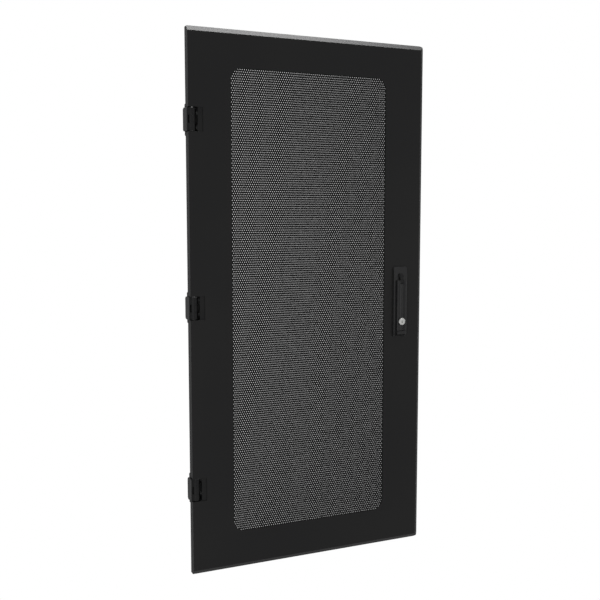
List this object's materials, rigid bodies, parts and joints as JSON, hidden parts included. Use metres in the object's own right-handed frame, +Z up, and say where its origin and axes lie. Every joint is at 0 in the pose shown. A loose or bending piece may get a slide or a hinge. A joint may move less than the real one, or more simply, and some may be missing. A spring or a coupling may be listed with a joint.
{
  "type": "perforated rack door",
  "caption": "Black sheet steel rack door with a perforated window, three side hinges and a locking swing lever handle with a single cam latch.",
  "frame": {"origin": "between the two screw holes of the middle hinge, on the cabinet's mounting face, level with the door's mid height", "axes": "+Z up the door; +X across the door from the hinges to the handle; +Y into the cabinet, so the door's front face looks along -Y"},
  "size_m": [0.6216, 0.0575, 1.254],
  "materials": {
    "black_paint": "fine matt black powder coat on folded sheet steel",
    "black_cast": "satin black coat on zinc castings",
    "black_nylon": "fine-grained black nylon",
    "zinc_steel": "bright zinc plate",
    "pin_steel": "plain turned steel, lightly oiled",
    "black_steel": "turned steel, blackened and oiled",
    "bright_chrome": "satin chrome plate",
    "seal_rubber": "matt black rubber",
    "brass": "plain turned brass"
  },
  "bodies": {
    "cabinet_side": {"hinge_block_top": "black_cast", "hinge_block_middle": "black_cast", "hinge_block_bottom": "black_cast", "hinge_pin_top": "black_steel", "hinge_pin_middle": "black_steel", "hinge_pin_bottom": "black_steel", "pin_clips": "black_steel", "hinge_washers": "black_nylon"},
    "door": {"door_skin": "black_paint", "perforated_panel": "black_paint", "upright_rail_left": "black_paint", "upright_rail_right": "black_paint", "cross_rail_top": "black_paint", "cross_rail_bottom": "black_paint", "rail_studs": "zinc_steel", "rail_nuts": "zinc_steel", "channel_left": "black_paint", "channel_right": "black_paint", "hinge_leaf_top": "black_cast", "hinge_leaf_middle": "black_cast", "hinge_leaf_bottom": "black_cast", "leaf_studs": "zinc_steel", "leaf_nuts": "zinc_steel", "handle_base": "black_nylon", "handle_gasket": "seal_rubber", "handle_clamp": "zinc_steel", "handle_screws": "zinc_steel", "rubber_stops": "seal_rubber", "earth_stud": "brass", "earth_washer": "brass", "earth_nut": "brass"},
    "latch_shaft": {"spindle": "black_cast", "spindle_clip": "pin_steel", "latch_cam": "zinc_steel", "cam_washer": "zinc_steel", "cam_nut": "zinc_steel"},
    "lever_arm": {"lever": "black_nylon", "lever_pin": "pin_steel", "bolt_cover": "zinc_steel"},
    "key_plug": {"key_cylinder": "bright_chrome"},
    "bolt": {"lock_bolt": "zinc_steel"}
  },
  "joints": [
    {"name": "door_swing", "type": "hinge", "parent": "cabinet_side", "child": "door", "pos_m": [-0.0095, -0.02, 0], "axis": [0, 0, -1], "range_deg": [0, 120]},
    {"name": "handle_turn", "type": "hinge", "parent": "door", "child": "latch_shaft", "pos_m": [0.5245, -0.03, 0.059], "axis": [0, 1, 0], "range_deg": [0, 90]},
    {"name": "lever_lift", "type": "hinge", "parent": "latch_shaft", "child": "lever_arm", "pos_m": [0.5245, -0.0388, 0.045], "axis": [-1, 0, 0], "range_deg": [0, 35]},
    {"name": "lock_turn", "type": "hinge", "parent": "lever_arm", "child": "key_plug", "pos_m": [0.5245, -0.0423, -0.0545], "axis": [0, 1, 0], "range_deg": [0, 90]},
    {"name": "bolt_slide", "type": "slide", "parent": "lever_arm", "child": "bolt", "axis": [0, 0, -1], "range_m": [0, 0.004]}
  ],
  "couplings": [
    {"joint": "lock_turn", "follows": "bolt_slide", "rad_per_m": 392.69}
  ]
}
